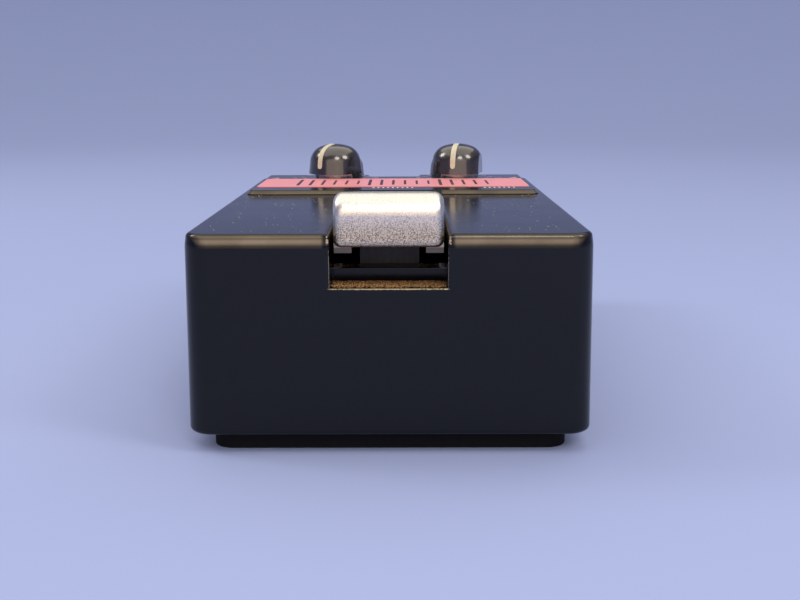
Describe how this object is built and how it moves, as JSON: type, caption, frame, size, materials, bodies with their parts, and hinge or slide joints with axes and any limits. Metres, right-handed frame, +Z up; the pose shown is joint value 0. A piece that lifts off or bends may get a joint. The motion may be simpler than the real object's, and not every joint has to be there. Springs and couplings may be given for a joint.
{
  "type": "effects pedal",
  "caption": "Compact foot pedal for an electric instrument: sprung foot treadle, rotary controls behind a printed strip, side sockets and a screwed base.",
  "frame": {"origin": "bottom centre of the pedal's box, on the floor under the rubber mat", "axes": "+X to the player's right, +Y away from the player towards the power socket, +Z up"},
  "size_m": [0.0784, 0.1366, 0.0495],
  "materials": {
    "case_paint": "gloss black enamel over a die-cast shell",
    "plate_steel": "black coated steel sheet",
    "mat_rubber": "matt black rubber",
    "screw_zinc": "zinc plated steel",
    "treadle_casting": "silver hammered paint on a casting",
    "black_moulding": "black moulded plastic",
    "white_moulding": "natural acetal",
    "pin_steel": "turned steel",
    "spring_steel": "spring steel wire",
    "board_laminate": "brown phenolic laminate",
    "chip_epoxy": "black epoxy",
    "capacitor_sleeve": "blue shrunk sleeve",
    "trimmer_moulding": "off-white moulding",
    "nut_nickel": "bright nickel plate",
    "socket_moulding": "black moulded nylon",
    "lamp_red": "clear red epoxy",
    "battery_can": "printed steel can, plain",
    "foam_grey": "grey open foam",
    "wire_insulation": "flexible vinyl insulation",
    "label_pink": "salmon pink printed strip",
    "pot_can": "tinned steel can",
    "knob_gloss": "gloss black moulding",
    "pointer_cream": "cream filled line"
  },
  "bodies": {
    "case": {"top_shell": "case_paint", "base_plate": "plate_steel", "rubber_mat": "mat_rubber", "base_screws": "screw_zinc", "hinge_pin": "pin_steel", "hinge_clips": "pin_steel", "return_spring": "spring_steel", "foot_switch_body": "black_moulding", "switch_board": "board_laminate", "board_screws": "screw_zinc", "main_board": "board_laminate", "ic_chips": "chip_epoxy", "capacitors": "capacitor_sleeve", "trimmers": "trimmer_moulding", "pot_washers": "nut_nickel", "pot_nuts": "nut_nickel", "jack_washers": "nut_nickel", "jack_nuts": "nut_nickel", "input_jack": "socket_moulding", "output_jack": "socket_moulding", "dc_socket": "socket_moulding", "dc_nut": "nut_nickel", "lamp_lens": "lamp_red", "lamp_bezel": "black_moulding", "battery": "battery_can", "battery_snap": "black_moulding", "foam_pad": "foam_grey", "battery_leads": "wire_insulation", "hookup_wires": "wire_insulation", "face_label": "label_pink", "pot_time": "pot_can", "pot_repeat": "pot_can", "pot_level": "pot_can", "pot_mix": "pot_can"},
    "foot_treadle": {"treadle": "treadle_casting", "treadle_plunger": "black_moulding"},
    "switch_pin": {"foot_switch_pin": "white_moulding"},
    "control_time": {"knob_time": "knob_gloss", "pointer_time": "pointer_cream", "shaft_time": "pin_steel"},
    "control_repeat": {"knob_repeat": "knob_gloss", "pointer_repeat": "pointer_cream", "shaft_repeat": "pin_steel"},
    "control_level": {"knob_level": "knob_gloss", "pointer_level": "pointer_cream", "shaft_level": "pin_steel"},
    "control_mix": {"knob_mix": "knob_gloss", "pointer_mix": "pointer_cream", "shaft_mix": "pin_steel"}
  },
  "joints": [
    {"name": "treadle_tilt", "type": "hinge", "parent": "case", "child": "foot_treadle", "pos_m": [0, -0.0083, 0.0337], "axis": [1, 0, 0], "range_deg": [0, 4], "stiffness_Nm_per_rad": 4, "springref_deg": -3.44, "deforming": ["return_spring"]},
    {"name": "switch_press", "type": "slide", "parent": "case", "child": "switch_pin", "axis": [0, 0, -1], "range_m": [0, 0.0033]},
    {"name": "time_turn", "type": "hinge", "parent": "case", "child": "control_time", "pos_m": [-0.01545, 0.0316, 0.041], "axis": [0, 0, 1], "range_deg": [-297.3, 2.7]},
    {"name": "repeat_turn", "type": "hinge", "parent": "case", "child": "control_repeat", "pos_m": [0.01675, 0.0316, 0.041], "axis": [0, 0, 1], "range_deg": [-300, 0]},
    {"name": "level_turn", "type": "hinge", "parent": "case", "child": "control_level", "pos_m": [-0.01545, 0.0487, 0.041], "axis": [0, 0, 1], "range_deg": [-185, 115]},
    {"name": "mix_turn", "type": "hinge", "parent": "case", "child": "control_mix", "pos_m": [0.01675, 0.0487, 0.041], "axis": [0, 0, 1], "range_deg": [-130, 170]}
  ],
  "couplings": [
    {"joint": "switch_press", "follows": "treadle_tilt", "m_per_rad": 0.0455}
  ]
}
